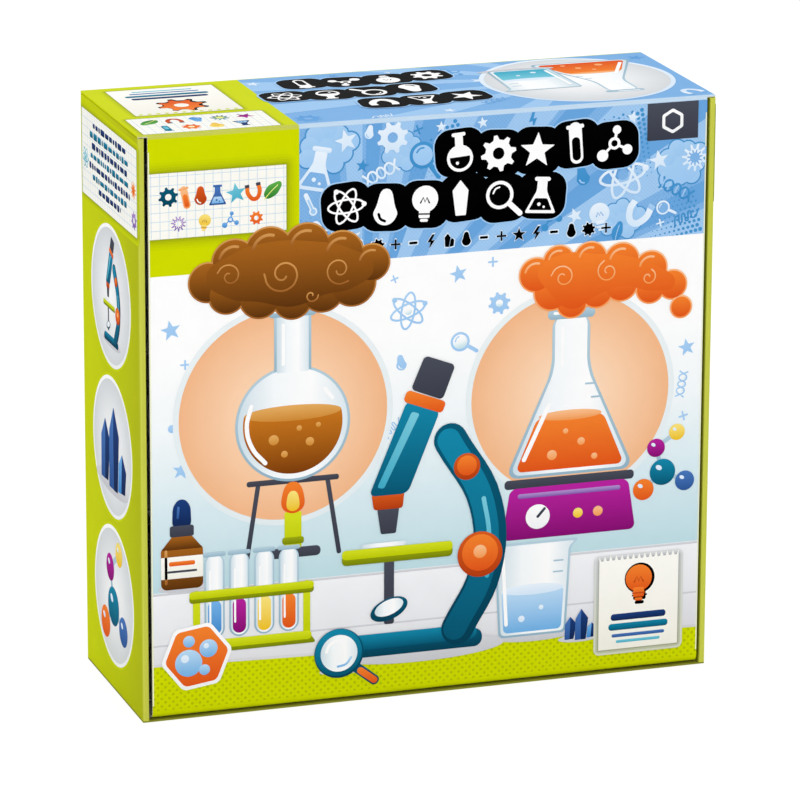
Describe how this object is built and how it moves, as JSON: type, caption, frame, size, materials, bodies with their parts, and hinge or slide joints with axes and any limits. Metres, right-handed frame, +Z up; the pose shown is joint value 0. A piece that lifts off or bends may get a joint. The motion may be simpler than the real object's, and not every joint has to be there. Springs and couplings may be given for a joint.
{
  "type": "chemistry set case",
  "caption": "Printed tuck-lid carton of a child's chemistry set, with a sliding card tray that holds a toy scale, clear beakers, a funnel, a test-tube rack and a dropping pipette.",
  "frame": {"origin": "centre of the footprint, on the surface that the carton stands on", "axes": "+Z up, -Y out of the lid, +X to the right of the lid as seen from the front"},
  "size_m": [0.25, 0.088, 0.25],
  "materials": {
    "printed_board": "litho-printed white-lined micro-flute board, matt varnish",
    "white_card": "uncoated white card",
    "booklet_paper": "coated paper",
    "staple_wire": "bright wire",
    "teal_plastic": "injection-moulded polystyrene",
    "orange_plastic": "injection-moulded polystyrene",
    "lime_plastic": "injection-moulded polystyrene",
    "white_plastic": "moulded acetal",
    "navy_rubber": "soft moulded rubber",
    "dial_card": "printed card",
    "clear_plastic": "clear polystyrene",
    "steel": "zinc-plated steel"
  },
  "bodies": {
    "carton": {"rear_panel": "printed_board", "top_panel": "printed_board", "bottom_panel": "printed_board", "left_side_wall": "printed_board", "right_side_wall": "printed_board", "upper_left_tab": "printed_board", "upper_right_tab": "printed_board", "lower_left_tab": "printed_board", "lower_right_tab": "printed_board", "booklet_cover": "booklet_paper", "booklet_pages": "booklet_paper", "booklet_staples": "staple_wire"},
    "lid": {"lid_panel": "printed_board"},
    "lid_flap": {"tuck_flap": "printed_board"},
    "tray": {"tray_back": "white_card", "tray_left_wall": "white_card", "tray_right_wall": "white_card", "tray_bottom_wall": "white_card", "tray_top_wall": "white_card", "long_shelf": "white_card", "short_shelf": "white_card", "upper_left_divider": "white_card", "upper_right_divider": "white_card", "lower_left_divider": "white_card", "lower_right_divider": "white_card"},
    "scale": {"housing_front": "teal_plastic", "housing_back": "teal_plastic", "housing_screws": "steel", "scale_dial": "dial_card", "scale_spring": "steel"},
    "pan": {"weighing_pan": "orange_plastic", "pan_stem": "orange_plastic"},
    "pointer": {"scale_pointer": "lime_plastic", "pointer_pinion": "white_plastic"},
    "large_beaker": {"large_beaker": "clear_plastic"},
    "middle_beaker": {"middle_beaker": "clear_plastic"},
    "small_beaker": {"small_beaker": "clear_plastic"},
    "funnel": {"funnel": "teal_plastic"},
    "rack": {"tube_rack": "lime_plastic"},
    "first_tube": {"first_tube": "clear_plastic"},
    "second_tube": {"second_tube": "clear_plastic"},
    "navy_stopper": {"navy_stopper": "navy_rubber"},
    "orange_stopper": {"orange_stopper": "orange_plastic"},
    "pipette": {"pipette_tube": "clear_plastic"},
    "bulb": {"pipette_bulb": "navy_rubber"}
  },
  "joints": [
    {"name": "lid_hinge", "type": "hinge", "parent": "carton", "child": "lid", "pos_m": [0, -0.04353, 0.24953], "axis": [-1, 0, 0], "range_deg": [0, 180]},
    {"name": "flap_fold", "type": "hinge", "parent": "lid", "child": "lid_flap", "pos_m": [0, -0.0408, 0.00215], "axis": [1, 0, 0], "range_deg": [0, 90.5]},
    {"name": "tray_slide", "type": "slide", "parent": "carton", "child": "tray", "axis": [0, -1, 0], "range_m": [0, 0.0605]},
    {"name": "scale_lift", "type": "slide", "parent": "tray", "child": "scale", "axis": [0, -1, 0], "range_m": [0, 0.014]},
    {"name": "pan_press", "type": "slide", "parent": "scale", "child": "pan", "axis": [0, 0, -1], "range_m": [0, 0.01], "stiffness_N_per_m": 400, "springref_m": -0.001, "deforming": ["scale_spring"]},
    {"name": "pointer_turn", "type": "hinge", "parent": "scale", "child": "pointer", "pos_m": [0.007, 0.00835, 0.16992], "axis": [0, 1, 0], "range_deg": [0, 180]},
    {"name": "large_beaker_lift", "type": "slide", "parent": "tray", "child": "large_beaker", "axis": [0, -1, 0], "range_m": [0, 0.014]},
    {"name": "middle_beaker_lift", "type": "slide", "parent": "tray", "child": "middle_beaker", "axis": [0, -1, 0], "range_m": [0, 0.014]},
    {"name": "small_beaker_lift", "type": "slide", "parent": "tray", "child": "small_beaker", "axis": [0, -1, 0], "range_m": [0, 0.014]},
    {"name": "funnel_lift", "type": "slide", "parent": "tray", "child": "funnel", "axis": [0, -1, 0], "range_m": [0, 0.014]},
    {"name": "rack_lift", "type": "slide", "parent": "tray", "child": "rack", "axis": [0, -1, 0], "range_m": [0, 0.014]},
    {"name": "first_tube_lift", "type": "slide", "parent": "rack", "child": "first_tube", "axis": [0, 0, 1], "range_m": [0, 0.01]},
    {"name": "second_tube_lift", "type": "slide", "parent": "rack", "child": "second_tube", "axis": [0, 0, 1], "range_m": [0, 0.01]},
    {"name": "navy_stopper_pull", "type": "slide", "parent": "first_tube", "child": "navy_stopper", "axis": [0, 0, 1], "range_m": [0, 0.0125]},
    {"name": "orange_stopper_pull", "type": "slide", "parent": "second_tube", "child": "orange_stopper", "axis": [0, 0, 1], "range_m": [0, 0.0125]},
    {"name": "pipette_lift", "type": "slide", "parent": "tray", "child": "pipette", "axis": [0, -1, 0], "range_m": [0, 0.014]},
    {"name": "bulb_pull", "type": "slide", "parent": "pipette", "child": "bulb", "axis": [0, 0, 1], "range_m": [0, 0.0135]}
  ],
  "couplings": [
    {"joint": "flap_fold", "follows": "lid_hinge", "ratio": 0.5},
    {"joint": "tray_slide", "follows": "lid_hinge", "m_per_rad": 0.019},
    {"joint": "pointer_turn", "follows": "pan_press", "rad_per_m": 312.5}
  ]
}
